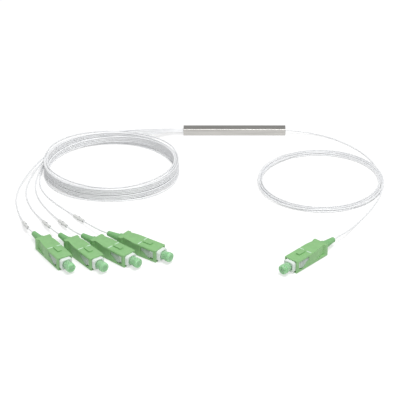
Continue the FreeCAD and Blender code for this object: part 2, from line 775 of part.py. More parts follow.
def stop_ring(plug):
    """Ring pressed into the frame's rear: it holds the spring and carries the boot on its neck."""
    body = new_body(plug + "_stop_ring")
    shoulder_rear = "-frame_rear - shoulder_length"
    neck_rear = shoulder_rear + " - neck_length"
    ring_size = "spring_bore - 2 * stop_gap"
    stepped(body, "Additive", "ring", "-frame_rear", STOP_FACE, ring_size)
    stepped(body, "Additive", "shoulder", shoulder_rear, "-frame_rear", "shoulder_size")
    stepped(body, "Additive", "neck", neck_rear, shoulder_rear, "neck_size")
    stepped(body, "Subtractive", "bore", neck_rear, STOP_FACE, "neck_bore", HOLE_SIDES)
    seat(body, plug)


def boot(plug):
    """Strain relief over the neck: a collar that runs in the grip, then a taper to the fibre."""
    body = new_body(plug + "_boot")
    front = "-(frame_rear + shoulder_length + boot_wall_gap)"
    neck_end = front + " - neck_length"
    neck_seat = "neck_size + 2 * boot_wall_gap"
    tapered = ("boot_taper", "boot_end", SIGHT_SIDES)
    frustum(body, "taper", "-boot_rear", "-boot_collar", *tapered)
    stepped(body, "Additive", "collar", "-boot_collar", front, "boot_size", SIGHT_SIDES)
    stepped(body, "Subtractive", "seat", neck_end, front, neck_seat)
    stepped(body, "Subtractive", "bore", "-boot_rear", front, "boot_bore", HOLE_SIDES)
    seat(body, plug)


def dust_cap(plug):
    """Cap pushed over the ferrule: a stem inside the frame's mouth and a wider head to pull."""
    body = new_body(plug + "_dust_cap")
    head_rear = "cap_front - cap_head_length"
    bore = "ferrule_size + 2 * cap_gap"
    head = stepped(body, "Additive", "head", head_rear, "cap_front", "cap_head", SIGHT_SIDES)
    softened(body, "Chamfer", head, "cap_bevel", on_plane("cap_front"))
    stepped(body, "Additive", "stem", CAP_MOUTH, head_rear, "cap_stem", SIGHT_SIDES)
    stepped(body, "Subtractive", "bore", CAP_MOUTH, "cap_front - cap_wall", bore)
    seat(body, plug)


# ---------------------------------------------------------------- the whole splitter

OUTPUT_PLACES = ["%s * output_pitch" % rank for rank in RANKS]
NODES = ["steel_tube", "input_end_seal", "output_end_seal", "splitter_chip"]
NODES += ["input_fibre_block", "output_fibre_block", "bare_fibres"]
NODES += ["input_lead", "output_leads", "input_coil", "output_coil"]

steel_tube()
half_tube = "tube_length / 2"
end_seal("input_end_seal", half_tube, half_tube + " - seal_length", ["0"])
end_seal("output_end_seal", "seal_length - " + half_tube, "-" + half_tube, OUTPUT_PLACES)
half_chip = "chip_length / 2"
glass_block("splitter_chip", "-" + half_chip, "-" + half_chip, half_chip, "chip_length")
lid_end = "(chip_length / 2 + block_lid)"
block_end = "(chip_length / 2 + block_length)"
glass_block("input_fibre_block", half_chip, half_chip, lid_end, "block_length")
glass_block("output_fibre_block", "-" + block_end, "-" + lid_end, "-" + half_chip, "block_length")
bare_fibres()
input_lead()
output_leads()
coil("input_coil")
coil("output_coil")
for plug in PLUGS:
    for build in (grip, plug_frame, ferrule, ferrule_flange, spring, stop_ring, boot, dust_cap):
        build(plug)
        NODES.append(plug + "_" + build.__name__)
    route = tail(plug)
    NODES.append(plug + "_tail")
    if plug in SLEEVE_PLACE:
        number_sleeve(plug, route)
        NODES.append("number_sleeve_" + plug[-1])
doc.recompute()

for item in doc.Objects:
    if "Invalid" in item.State or "Error" in item.State:
        raise RuntimeError("%s did not build: %s" % (item.Name, item.State))
os.makedirs("parts", exist_ok=True)
for node in NODES:
    shape = doc.getObject(node).Shape
    if shape.isNull() or not shape.isValid() or not shape.Solids:
        raise RuntimeError("%s has no sound solid" % node)
    shape.exportStep("parts/%s.step" % node)
print(len(NODES), "nodes")
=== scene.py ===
# %% [markdown]
# # A one-by-four fibre splitter
# A splitter shares the light of one optical fibre between four.  The chip that does it sits in a
# slim steel tube.  One coiled fibre brings the light in, four coiled fibres take it out, and every
# fibre ends in a green push-pull plug with a dust cap.  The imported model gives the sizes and
# places of all rigid pieces, and this file gives them their finish, makes the round and moulded
# pieces smooth, and lays out the fibres turn by turn.

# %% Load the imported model
import json
import math
import bmesh
import bpy
import numpy as np
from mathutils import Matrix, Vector

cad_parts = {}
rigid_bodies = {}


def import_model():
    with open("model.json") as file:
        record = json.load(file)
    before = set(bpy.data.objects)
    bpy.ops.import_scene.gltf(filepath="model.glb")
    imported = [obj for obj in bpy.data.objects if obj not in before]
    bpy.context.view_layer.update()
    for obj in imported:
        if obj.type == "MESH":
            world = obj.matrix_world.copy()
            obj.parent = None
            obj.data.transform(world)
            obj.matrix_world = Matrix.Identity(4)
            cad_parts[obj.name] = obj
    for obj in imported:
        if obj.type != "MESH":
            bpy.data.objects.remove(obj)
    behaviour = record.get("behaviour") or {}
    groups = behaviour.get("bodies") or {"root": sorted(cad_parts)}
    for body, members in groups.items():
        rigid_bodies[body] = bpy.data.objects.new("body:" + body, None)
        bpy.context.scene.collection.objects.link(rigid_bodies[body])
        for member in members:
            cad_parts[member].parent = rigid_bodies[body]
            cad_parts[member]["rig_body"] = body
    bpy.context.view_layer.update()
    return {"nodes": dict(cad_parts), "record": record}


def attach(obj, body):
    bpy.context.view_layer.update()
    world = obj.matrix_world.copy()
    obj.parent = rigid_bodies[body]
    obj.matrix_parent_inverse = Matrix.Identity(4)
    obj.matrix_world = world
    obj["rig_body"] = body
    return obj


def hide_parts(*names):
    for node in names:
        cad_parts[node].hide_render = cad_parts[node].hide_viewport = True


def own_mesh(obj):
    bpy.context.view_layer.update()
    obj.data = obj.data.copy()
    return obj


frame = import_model()
nodes = frame["nodes"]
record = frame["record"]

# %% [markdown]
# ## Units, colours and shader nodes
# Sizes below are written in millimetres, as on a drawing, and turned to metres when a mesh is
# made.  Colours are written as sRGB hex values, as on a colour card, but a renderer adds light in
# linear numbers, so one function turns one into the other.  Another function adds a shader node
# with its settings, its constants and its links, and every material below is built with it.

# %% Units, colours and shader nodes
MM = 0.001
NOISE_DETAIL = 2.0
SHADE_EDGES = (0.35, 0.65)


def linear(code):
    """An sRGB hex colour as linear red, green, blue and alpha: below 0.04045 a channel is divided
    by 12.92, above it is ((c + 0.055) / 1.055) to the power 2.4."""
    channels = np.array([int(code[n : n + 2], 16) for n in (1, 3, 5)]) / 255
    bright = ((channels + 0.055) / 1.055) ** 2.4
    return (*np.where(channels <= 0.04045, channels / 12.92, bright), 1.0)


def add(tree, kind, values=(), links=(), **settings):
    """Adds a shader node: settings are its own, values are its sockets' constants, and links join
    its inputs to outputs of other nodes."""
    node = tree.nodes.new("ShaderNode" + kind)
    for name, value in settings.items():
        setattr(node, name, value)
    for socket, value in values:
        node.inputs[socket].default_value = value
    for socket, output in links:
        tree.links.new(output, node.inputs[socket])
    return node


def link(thing):
    """Puts an object into the scene."""
    bpy.context.scene.collection.objects.link(thing)


def finish(name, color, roughness, **sockets):
    """A material with one Principled shader; returns the material, its tree and that shader."""
    made = bpy.data.materials.new(name)
    made.use_nodes = True
    shader = made.node_tree.nodes["Principled BSDF"]
    shader.inputs["Base Color"].default_value = linear(color)
    shader.inputs["Roughness"].default_value = roughness
    for socket, value in sockets.items():
        shader.inputs[socket.replace("_", " ")].default_value = value
    return made, made.node_tree, shader


def speckle(tree, size_mm):
    """Noise whose blobs are about that many millimetres wide on the object."""
    place = add(tree, "TexCoord")
    values = [("Scale", 1 / (size_mm * MM)), ("Detail", NOISE_DETAIL)]
    return add(tree, "TexNoise", values, [("Vector", place.outputs["Object"])])


def shades(tree, noise, dark, light):
    """Two close shades that follow a noise."""
    ramp = add(tree, "ValToRGB", links=[("Fac", noise.outputs[0])])
    for element, edge, code in zip(ramp.color_ramp.elements, SHADE_EDGES, (dark, light)):
        element.position = edge
        element.color = linear(code)
    return ramp.outputs["Color"]


def grain(tree, shader, noise, depth_mm, strength):
    """Bumps of that depth from a noise, on the shader."""
    values = [("Distance", depth_mm * MM), ("Strength", strength)]
    bump = add(tree, "Bump", values, [("Height", noise.outputs[0])])
    tree.links.new(bump.outputs["Normal"], shader.inputs["Normal"])


print("mid grey #808080 is", round(float(linear("#808080")[0]), 3), "in linear numbers")

# %% [markdown]
# ## Plastics
# Grip, boot and cap are three different plastics in nearly the same green, which says that the
# plug's end is polished at a slope.  The grip is glass-filled and slightly matt from its spark
# eroded mould, the boot is a soft elastomer, and the cap is thin unfilled polyethylene, in which
# light spreads before it comes out again.  The frame inside the grip is a tough white polyester.
# Its two lugs are rougher, and their darker grey-green colour is painted shade of the grip's side
# windows.  The grip's two lines are pad printed in pale green.  Subtle noise keeps each from
# looking like a flat fill.

# %% Plastics
grip_plastic, tree, shader = finish("moulded_green_pbt", "#93C787", 0.42, IOR=1.52)
noise = speckle(tree, 2.5)
tree.links.new(shades(tree, noise, "#90C484", "#96CA8A"), shader.inputs["Base Color"])
grain(tree, shader, speckle(tree, 0.12), 0.01, 0.35)

boot_rubber, tree, shader = finish("soft_green_elastomer", "#86BE80", 0.6, IOR=1.5)
tree.links.new(shades(tree, speckle(tree, 1.5), "#83BB7D", "#8AC285"), shader.inputs["Base Color"])
grain(tree, shader, speckle(tree, 0.15), 0.012, 0.4)

cap_plastic, tree, shader = finish("thin_green_polyethylene", "#9ED3A0", 0.45, IOR=1.51)
shader.inputs["Subsurface Weight"].default_value = 1.0
shader.inputs["Subsurface Scale"].default_value = 4.0 * MM
shader.inputs["Subsurface Radius"].default_value = (1.0, 1.0, 1.0)
tree.links.new(shades(tree, speckle(tree, 1.8), "#9BD09D", "#A1D6A3"), shader.inputs["Base Color"])

frame_plastic, tree, shader = finish("white_polyester", "#EDF5F0", 0.35, IOR=1.55)
tree.links.new(shades(tree, speckle(tree, 1.2), "#EAF2ED", "#F0F7F2"), shader.inputs["Base Color"])
grain(tree, shader, speckle(tree, 0.1), 0.006, 0.3)

# painted shade: the lugs' darker grey-green stands for the shade inside the grip's windows; their
# roughness and bumps are real
lug_rough_painted_shade, tree, shader = finish("roughened_polyester_painted_shade", "#BCCDBF", 0.6, IOR=1.55)
tree.links.new(shades(tree, speckle(tree, 0.7), "#B3C6B7", "#C6D5C9"), shader.inputs["Base Color"])
grain(tree, shader, speckle(tree, 0.2), 0.02, 0.5)

mark_paint, tree, shader = finish("pale_green_pad_print", "#D6F4DA", 0.5)
tree.links.new(shades(tree, speckle(tree, 0.5), "#CFEFD4", "#DDF7E1"), shader.inputs["Base Color"])
print("plastics:", grip_plastic.name, boot_rubber.name, cap_plastic.name, frame_plastic.name)

# %% [markdown]
# ## Fibre jacket and sleeves
# The fibres wear a tight buffer of white thermoplastic, 0.9 mm thick over all, with a satin
# surface.  It is drawn opaque, and a high refractive index gives it the strong soft shine that the
# milky plastic has.  So a single fibre nearly vanishes on a white table, and a bundle looks pale
# grey from the shadows between its strands.  The sleeves are slips of white tube, and their
# numbers are printed in black ink.

# %% Fibre jacket and sleeves
fibre_jacket, tree, shader = finish("milky_satin_buffer", "#F8F9FB", 0.4, IOR=2.0)
tree.links.new(shades(tree, speckle(tree, 6.0), "#F6F7F9", "#FBFCFD"), shader.inputs["Base Color"])

sleeve_plastic, tree, shader = finish("white_vinyl_sleeve", "#E9EAE8", 0.5)
tree.links.new(shades(tree, speckle(tree, 0.9), "#E2E3E1", "#F0F1EF"), shader.inputs["Base Color"])
grain(tree, shader, speckle(tree, 0.2), 0.01, 0.4)

print_ink, tree, shader = finish("black_marking_ink", "#23241F", 0.6)
tree.links.new(shades(tree, speckle(tree, 0.2), "#1E1F1B", "#33342E"), shader.inputs["Base Color"])
print("fibres and sleeves:", fibre_jacket.name, sleeve_plastic.name, print_ink.name)

# %% [markdown]
# ## Metals, ceramic and glass
# The tube is drawn stainless steel with fine lines along it, so its noise is stretched a hundred
# times along X: it breaks the gloss across the tube and not along it.  Flange and stop ring are
# turned brass with nickel on it, the spring is bright wire, and the ferrule is polished zirconia,
# a dense white ceramic.  The seals are cast silicone, the chip and its blocks are ground glass, and
# the short fibres between them have only their thin acrylate coating.

# %% Metals, ceramic and glass
tube_steel, tree, shader = finish("drawn_stainless_steel", "#C9C7C3", 0.42, Metallic=1.0)
place = add(tree, "TexCoord")
stretch = add(tree, "Mapping", [("Scale", (0.01, 1.0, 1.0))], [("Vector", place.outputs["Object"])])
lines = add(tree, "TexNoise", [("Scale", 1 / (0.35 * MM))], [("Vector", stretch.outputs[0])])
tree.links.new(shades(tree, lines, "#BFBDB9", "#D2D0CC"), shader.inputs["Base Color"])
grain(tree, shader, lines, 0.01, 0.25)

nickel, tree, shader = finish("nickel_plated_brass", "#C9C2B2", 0.28, Metallic=1.0)
tree.links.new(shades(tree, speckle(tree, 0.8), "#C4BDAD", "#CFC8B8"), shader.inputs["Base Color"])

spring_wire, tree, shader = finish("bright_spring_wire", "#BFC1C4", 0.25, Metallic=1.0)
tree.links.new(shades(tree, speckle(tree, 0.5), "#B8BABD", "#C8CACD"), shader.inputs["Base Color"])

zirconia, tree, shader = finish("polished_zirconia", "#F3F0E8", 0.08, IOR=2.1)
tree.links.new(shades(tree, speckle(tree, 1.0), "#F1EEE6", "#F6F4ED"), shader.inputs["Base Color"])

seal_compound, tree, shader = finish("cast_silicone_seal", "#D9D9D6", 0.55, IOR=1.41)
tree.links.new(shades(tree, speckle(tree, 0.6), "#D2D2CF", "#E0E0DD"), shader.inputs["Base Color"])
grain(tree, shader, speckle(tree, 0.4), 0.03, 0.5)

chip_glass, tree, shader = finish("ground_glass_block", "#DCE8E6", 0.15, IOR=1.47)
shader.inputs["Transmission Weight"].default_value = 0.6
tree.links.new(shades(tree, speckle(tree, 1.0), "#D8E5E3", "#E2ECEA"), shader.inputs["Base Color"])

fibre_coating, tree, shader = finish("acrylate_coating", "#E8E2D0", 0.3, IOR=1.5)
tree.links.new(shades(tree, speckle(tree, 0.5), "#E4DECC", "#ECE6D6"), shader.inputs["Base Color"])
print("metals and ceramic:", tube_steel.name, nickel.name, spring_wire.name, zirconia.name)

# %% [markdown]
# ## Surfaces on a grid
# A mould or a lathe makes a surface that two numbers describe: how far along, and how far round.
# So each new piece is computed as a whole grid of points at once.  A row of the grid is one ring,
# and neighbouring rows are joined by four-sided faces.  The rings always close, and the rows
# close too where the profile does, while the two ends of a wire get one face each.  Points that
# meet on the axis are merged into one.

# %% Surfaces on a grid
MERGE_WITHIN = 1e-7
SHARP_ANGLE = math.radians(35)
CORNER_STEPS = 5
ROUND_SIDES = 48


def grid_faces(rows, columns, closed_rows):
    """The four-sided faces of a grid whose columns run round: point (i, j) has number
    i * columns + j, and a face joins it to the next in both ways."""
    steps = rows if closed_rows else rows - 1
    i, j = np.meshgrid(np.arange(steps), np.arange(columns), indexing="ij")
    after, beside = (i + 1) % rows, (j + 1) % columns
    corners = [i * columns + j, after * columns + j, after * columns + beside, i * columns + beside]
    return np.stack(corners, axis=-1).reshape(-1, 4)


def mesh_piece(name, points, faces, material):
    """A smooth piece from points in millimetres.  Edges that lose their faces in the merging of
    points are deleted, and edges sharper than SHARP_ANGLE stay sharp."""
    mesh = bpy.data.meshes.new(name)
    mesh.from_pydata((points * MM).tolist(), [], faces)
    work = bmesh.new()
    work.from_mesh(mesh)
    bmesh.ops.remove_doubles(work, verts=work.verts, dist=MERGE_WITHIN)
    bare = [edge for edge in work.edges if not edge.link_faces]
    bmesh.ops.delete(work, geom=bare, context="EDGES")
    bmesh.ops.recalc_face_normals(work, faces=work.faces)
    work.to_mesh(mesh)
    work.free()
    mesh.shade_smooth()
    mesh.set_sharp_from_angle(angle=SHARP_ANGLE)
    mesh.materials.append(material)
    piece = bpy.data.objects.new(name, mesh)
    link(piece)
    return piece


def own_points(mesh):
    """The points of a mesh in millimetres, one row each."""
    spots = np.empty(len(mesh.vertices) * 3)
    mesh.vertices.foreach_get("co", spots)
    return spots.reshape(-1, 3) / MM


def soft_corners(profile, radii):
    """Rounds the corners of a closed profile: each corner becomes a parabola between points that
    lie its radius away on both sides, (1 - t)^2 a + 2 t (1 - t) corner + t^2 b."""
    corner = np.array(profile, float)
    radius = np.array(radii, float)[:, None]
    back = np.roll(corner, 1, axis=0) - corner
    ahead = np.roll(corner, -1, axis=0) - corner
    start = corner + back / np.linalg.norm(back, axis=1, keepdims=True) * radius
    end = corner + ahead / np.linalg.norm(ahead, axis=1, keepdims=True) * radius
    t = np.linspace(0, 1, CORNER_STEPS)[None, :, None]
    curve = (1 - t) ** 2 * start[:, None] + 2 * t * (1 - t) * corner[:, None] + t**2 * end[:, None]
    return curve.reshape(-1, 2)


def turned(profile, sides=ROUND_SIDES):
    """A lathe shape: point (along, radius) of a closed profile, carried round the X axis, is
    (along, radius cos a, radius sin a)."""
    angle = np.linspace(0, 2 * math.pi, sides, endpoint=False)
    along = np.repeat(profile[:, :1], sides, axis=1)
    ring = profile[:, 1:2] * np.array([np.cos(angle), np.sin(angle)])[:, None, :]
    points = np.stack([along, ring[0], ring[1]], axis=-1).reshape(-1, 3)
    return points, grid_faces(len(profile), sides, True)


print("surfaces are computed as grids of rings")

# %% [markdown]
# ## Camera, light and table
# The view looks down at the splitter by just under thirty degrees through a long lens, so lines
# stay nearly parallel.  One broad lamp hangs high above, a little to the right and on the viewer's
# side, so tops are bright and sides darker, and a plain white world fills in the rest.  To rays
# from the eye, from reflections and through glass the table is a grey that glows: together that
# shows white, and a shadow still darkens it.  To all other rays it is a nearly white card, which
# gives most of its light back to the sides and undersides of the pieces.

# %% Camera, light and table
AIM = Vector((-0.0203, -0.0791, 0.0))
DISTANCE = 1.2456
LOOKING_DOWN = math.radians(29.71)

camera = bpy.data.cameras.new("camera")
camera.lens = 200.6
camera.sensor_width = 36.0
camera.clip_end = 20.0
view = bpy.data.objects.new("camera", camera)
view.location = AIM + DISTANCE * Vector((0, -math.cos(LOOKING_DOWN), math.sin(LOOKING_DOWN)))
view.rotation_euler = (math.pi / 2 - LOOKING_DOWN, 0, 0)
link(view)
bpy.context.scene.camera = view
bpy.context.scene.view_settings.view_transform = "Standard"

LAMP_PLACE = Vector((0.20, -0.30, 1.45))
lamp = bpy.data.lights.new("soft_lamp", "AREA")
lamp.shape = "DISK"
lamp.size = 0.9
lamp.energy = 16.5
lamp_object = bpy.data.objects.new("soft_lamp", lamp)
lamp_object.location = AIM + LAMP_PLACE
lamp_object.rotation_euler = (-LAMP_PLACE).to_track_quat("-Z", "Y").to_euler()
link(lamp_object)

world = bpy.data.worlds.new("dim_room")
world.use_nodes = True
world.node_tree.nodes["Background"].inputs["Color"].default_value = (1.0, 1.0, 1.0, 1.0)
world.node_tree.nodes["Background"].inputs["Strength"].default_value = 0.36
bpy.context.scene.world = world

TABLE_SEEN, TABLE_GIVES_BACK = "#B5B5B5", "#EFEFEF"
TABLE_GLOW = 0.62
FACTOR, COLOR_A, COLOR_B, MIXED = 0, 6, 7, 2  # the colour sockets of a Mix node

table_top, tree, shader = finish("matt_white_table", TABLE_SEEN, 0.9)
seen = add(tree, "LightPath")
direct = [(0, seen.outputs["Is Camera Ray"]), (1, seen.outputs["Is Glossy Ray"])]
either = add(tree, "Math", links=direct, operation="MAXIMUM")
through = [(0, either.outputs[0]), (1, seen.outputs["Is Transmission Ray"])]
shown = add(tree, "Math", links=through, operation="MAXIMUM")
glow = add(tree, "Math", [(1, TABLE_GLOW)], [(0, shown.outputs[0])], operation="MULTIPLY")
tones = [(COLOR_A, linear(TABLE_GIVES_BACK)), (COLOR_B, linear(TABLE_SEEN))]
tone = add(tree, "Mix", tones, data_type="RGBA")
tree.links.new(shown.outputs[0], tone.inputs[FACTOR])
tree.links.new(tone.outputs[MIXED], shader.inputs["Base Color"])
shader.inputs["Emission Color"].default_value = (1.0, 1.0, 1.0, 1.0)
tree.links.new(glow.outputs[0], shader.inputs["Emission Strength"])

HALF_TABLE = 4000.0
TABLE_BELOW = 0.02
corners = np.array([[-1, -1, 0], [1, -1, 0], [1, 1, 0], [-1, 1, 0]]) * HALF_TABLE
table = mesh_piece("table", corners, [(0, 1, 2, 3)], table_top)
table.location.z = -TABLE_BELOW * MM
print("camera at", [round(number, 3) for number in view.location])

# %% [markdown]
# ## Where the plugs lie
# The record gives, for each plug, a point on its face and the way it points.  From these comes a
# plug's own set of axes: X along the plug, Y across it, Z up, with the grip's front face at zero.
# Every piece of a plug is made once in those axes and then turned and moved as whole arrays.

# %% Where the plugs lie
PLUGS = ("input", "output_1", "output_2", "output_3", "output_4")
FRAME_FRONT = 1.9

mounts = {mount["name"]: mount for mount in record["mounts"]}


def plug_axes(plug):
    """A plug's origin in millimetres and its three directions as the rows of a matrix."""
    mount = mounts[plug + "_plug_face"]
    ahead = np.array(mount["axis"]) / np.linalg.norm(mount["axis"])
    across = np.cross([0.0, 0.0, 1.0], ahead)
    face = np.array(mount["pos_m"]) / MM
    return face - ahead * FRAME_FRONT, np.array([ahead, across, [0.0, 0.0, 1.0]])


def on_plug(plug, points):
    """Points of a plug's own axes, in the row frame."""
    origin, ways = plug_axes(plug)
    return origin + np.asarray(points, float) @ ways


for plug in PLUGS:
    print(plug, "front face at", on_plug(plug, [0, 0, 0]).round(1))

# %% [markdown]
# ## The fibres' routes
# A fibre is one springy strand from the tube to its plug.  It is drawn as one NURBS curve whose
# control points are the given points of the loose stretches, with the coil's turns worked
# out between them.  The curve's order is 3, so it is smooth everywhere, and a round section is
# carried along it.

# %% The fibres' routes
FIBRE = 0.9
TUBE_END = 30.0
TUBE_MIDDLE = 2.1
FIBRE_ENTRY = 2.5
FIBRE_STRAIGHT = 2.0
OUTPUT_PITCH = 1.1
RANKS = (1.5, 0.5, -0.5, -1.5)
BOOT_REAR = -35.8
BOOT_ENTRY = 3.0
STRAIGHT_OUT = 8.0
SAG = 0.2

INPUT_LEAD = [
    (37.0, -0.4, 1.8),
    (46.5, -1.8, 1.1),
    (56.5, -6.4, 0.6),
    (66.2, -14.6, 0.5),
    (74.6, -25.8, 0.5),
    (79.6, -37.2, 0.5),
    (82.2, -48.3, 0.5),
]
TAILS = {
    "input": [
        (81.7, -70.9, 0.5),
        (78.9, -80.6, 0.5),
        (74.4, -91.2, 0.5),
        (68.6, -101.8, 0.5),
        (62.6, -112.6, 1.3),
    ],
    "output_1": [
        (-104.2, -27.9, 4.6),
        (-110.6, -38.0, 4.2),
        (-117.0, -50.5, 2.8),
        (-121.8, -64.0, 1.2),
        (-123.5, -79.0, 0.5),
        (-120.8, -94.0, 0.6),
        (-118.2, -103.0, 1.2),
    ],
    "output_2": [
        (-105.7, -30.4, 3.5),
        (-110.5, -40.5, 3.2),
        (-115.3, -52.0, 2.2),
        (-118.2, -64.5, 0.8),
        (-117.6, -77.5, 0.5),
        (-114.0, -89.5, 0.5),
        (-108.6, -100.5, 0.9),
    ],
    "output_3": [
        (-107.4, -34.0, 2.4),
        (-110.9, -45.5, 2.1),
        (-113.4, -57.5, 1.2),
        (-112.8, -70.5, 0.5),
        (-109.3, -82.5, 0.5),
        (-101.6, -97.2, 0.6),
    ],
    "output_4": [
        (-109.2, -39.5, 1.3),
        (-111.0, -50.5, 1.1),
        (-111.3, -62.0, 0.7),
        (-107.8, -73.0, 0.5),
        (-101.0, -83.8, 0.5),
        (-91.8, -95.0, 0.6),
    ],
}
# the middle of the four output leads, their spacing, and by how many degrees their row has turned
# upright
OUTPUT_LEADS = [
    (-37.0, -0.6, 2.4, 1.10, 0.0),
    (-47.0, -5.4, 4.2, 1.00, 30.0),
    (-57.0, -9.4, 5.8, 0.97, 65.0),
    (-66.0, -10.7, 5.9, 0.95, 90.0),
]


def boot_points(plug):
    """The last points of a fibre: straight into its boot, from a little lower outside it."""
    inside = BOOT_REAR + BOOT_ENTRY
    local = [(BOOT_REAR - STRAIGHT_OUT, 0, -SAG), (BOOT_REAR, 0, 0), (inside, 0, 0)]
    return on_plug(plug, local)


def output_lead(rank):
    """The first points of an output fibre: side by side out of the tube, then one above another."""
    points = [(FIBRE_ENTRY - TUBE_END, rank * OUTPUT_PITCH, TUBE_MIDDLE)]
    points.append((-TUBE_END - FIBRE_STRAIGHT, rank * OUTPUT_PITCH, TUBE_MIDDLE))
    for x, y, z, pitch, upright in OUTPUT_LEADS:
        lean = math.radians(upright)
        spread = rank * pitch
        points.append((x, y + spread * math.cos(lean), z + spread * math.sin(lean)))
    return points


print("loose stretches:", {plug: len(tail) for plug, tail in TAILS.items()}, "points to the plugs")

# %% [markdown]
# ## How a coil is wound
# The fibres were wound round a drum, three turns side by side, then three more on top of or below
# them.  So the layer steps in by a fibre's width each turn, drops or climbs to the second row,
# and steps out again.  Nothing ties the coil.  Its turns lie close where the strands cross at its
# two ends, and on the slanted stretches between, the strands at the rims spring away from it.

# %% How a coil is wound
TURN_STEP = 0.95
POINTS_PER_TURN = 16
JOIN_BEFORE = 20
TURNS_BESIDE = 3
STEP_AT_SLANTS, STEP_CLOSER = 1.1, 0.3
OUTER_SPRING, INNER_SPRING = 1.9, 1.4
OUTER_TURNS = ((-0.1, 1.05), (4.95, 6.6))
INNER_TURNS = ((2.0, 2.9), (3.1, 4.0))
SWAYS = ((0.12, 1, 2.3), (0.1, 3, 4))


def smooth_step(value):
    """0 below 0, 1 above 1, and 3 v^2 - 2 v^3 between."""
    held = np.clip(value, 0, 1)
    return held * held * (3 - 2 * held)


def between(turns, first, last):
    """1 while the turns done are between two numbers, with soft ends a fifth of a turn long."""
    return smooth_step((turns - first) / 0.2) * smooth_step((last - turns) / 0.2)


def coil_points(middle, half, angles, first, rows, rim, loose=0.0):
    """Points of a fibre's turns at those angles, in degrees.  With t the turns done since the
    first angle, the layer is 1.5 - t for three turns and t - 4.5 after them.  Each point is
    (middle_x + (half_x + r) cos a, middle_y + (half_y + r) sin a, height).  Here r is the layer
    times the step of the turns, 1.1 - 0.3 cos^2 a + loose sin^2 a, plus what a strand at a rim
    springs away, 1.9 outwards or 1.4 inwards times the rim's share and sin^2 2a, plus a slow
    sway, 0.12 sin(a + 2.3 t) + 0.1 sin(3 a + 4 t)."""
    turns = (angles - first) / 360 * np.sign(angles[-1] - angles[0])
    radians = np.radians(angles)
    first_layer, last_layer = TURNS_BESIDE / 2 - turns, turns - TURNS_BESIDE * 3 / 2
    layer = np.where(turns < TURNS_BESIDE, first_layer, last_layer)
    below = smooth_step((turns - TURNS_BESIDE + 0.25) / 0.5)
    far_side = np.sin(radians) > 0
    upper_rim, lower_rim = rim
    outer = between(turns, *OUTER_TURNS[0]) * upper_rim * far_side
    outer = outer + between(turns, *OUTER_TURNS[1]) * lower_rim * ~far_side
    inner = between(turns, *INNER_TURNS[0]) * upper_rim * ~far_side
    inner = inner + between(turns, *INNER_TURNS[1]) * lower_rim * far_side
    spring = np.sin(2 * radians) ** 2 * (OUTER_SPRING * outer - INNER_SPRING * inner)
    sway = sum(size * np.sin(waves * radians + drift * turns) for size, waves, drift in SWAYS)
    step = STEP_AT_SLANTS - STEP_CLOSER * np.cos(radians) ** 2 + loose * np.sin(radians) ** 2
    radius = layer * step + spring + sway
    x = middle[0] + (half[0] + radius) * np.cos(radians)
    y = middle[1] + (half[1] + radius) * np.sin(radians)
    z = rows[0] + (rows[1] - rows[0]) * below
    return np.stack([x, y, z], axis=-1)


def fibre_cord(name, points):
    """A fibre as one NURBS curve through its control points, given in millimetres."""
    curve = bpy.data.curves.new(name, "CURVE")
    curve.dimensions = "3D"
    curve.bevel_depth = FIBRE / 2 * MM
    curve.bevel_resolution = 2
    curve.use_fill_caps = True
    spline = curve.splines.new("NURBS")
    spline.points.add(len(points) - 1)
    weighted = np.column_stack([points * MM, np.ones(len(points))])
    spline.points.foreach_set("co", weighted.ravel())
    spline.use_endpoint_u = True
    spline.order_u = 3
    spline.resolution_u = 5
    curve.materials.append(fibre_jacket)
    piece = bpy.data.objects.new(name, curve)
    link(piece)
    return piece


def own_line(piece):
    """The points of a curve's own line in millimetres, taken from it with no section."""
    thick = piece.data.bevel_depth
    piece.data.bevel_depth = 0
    bpy.context.view_layer.update()
    evaluated = piece.evaluated_get(bpy.context.evaluated_depsgraph_get())
    line = bpy.data.meshes.new_from_object(evaluated)
    piece.data.bevel_depth = thick
    spots = own_points(line)
    bpy.data.meshes.remove(line)
    return spots


def lengths_along(line):
    """For each point of a line, the length from its first point, as a running sum of steps."""
    steps = np.linalg.norm(np.diff(line, axis=0), axis=1)
    return np.concatenate([[0.0], np.cumsum(steps)])


print("a turn of a coil has", POINTS_PER_TURN, "control points")

# %% [markdown]
# ## The input fibre
# It leaves the tube at its right end, runs round to the coil's right side, is wound clockwise six
# times and leaves the coil forwards to its plug.

# %% The input fibre
INPUT_COIL = (47.9, -58.5)
INPUT_HALF = (34.9, 33.7)
INPUT_ROWS = (0.5, 1.47)
INPUT_FIRST = 17.0
INPUT_LAST = -360.0 * 6 - 4.0
INPUT_RIM = (0.6, 0.8)
INPUT_LOOSE = 0.5

angles = np.arange(INPUT_FIRST - JOIN_BEFORE, INPUT_LAST, -360 / POINTS_PER_TURN)
ring = (INPUT_COIL, INPUT_HALF, angles, INPUT_FIRST, INPUT_ROWS)
turns = coil_points(*ring, INPUT_RIM, INPUT_LOOSE)
lead = [(TUBE_END - FIBRE_ENTRY, 0, TUBE_MIDDLE), (TUBE_END + FIBRE_STRAIGHT, 0, TUBE_MIDDLE)]
route = np.vstack([lead + INPUT_LEAD, turns, TAILS["input"], boot_points("input")])
input_fibre = fibre_cord("input_fibre", route)
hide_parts("input_lead", "input_coil", "input_tail")
fibres = {"input": input_fibre}
print("the input fibre has", len(route), "control points")

# %% [markdown]
# ## The four output fibres
# They leave the tube's left end side by side, turn into an upright ribbon, and are wound together
# six and a bit times against the clock.  The first three turns are the upper half of the stack
# and the last three the lower half, and then each fibre leaves the coil's left side for its plug.

# %% The four output fibres
OUTPUT_COIL = (-70.9, -46.1)
OUTPUT_HALF = (38.0, 34.4)
OUTPUT_FIRST = 83.0
UPPER_ROW = 5.9
LOWER_ROW = 1.9
OUTPUT_LAST = (146.0, 150.0, 155.0, 162.0)
LEAVES_BEFORE = 14
LAST_RISE = 150
LEAST_RIM = 0.12

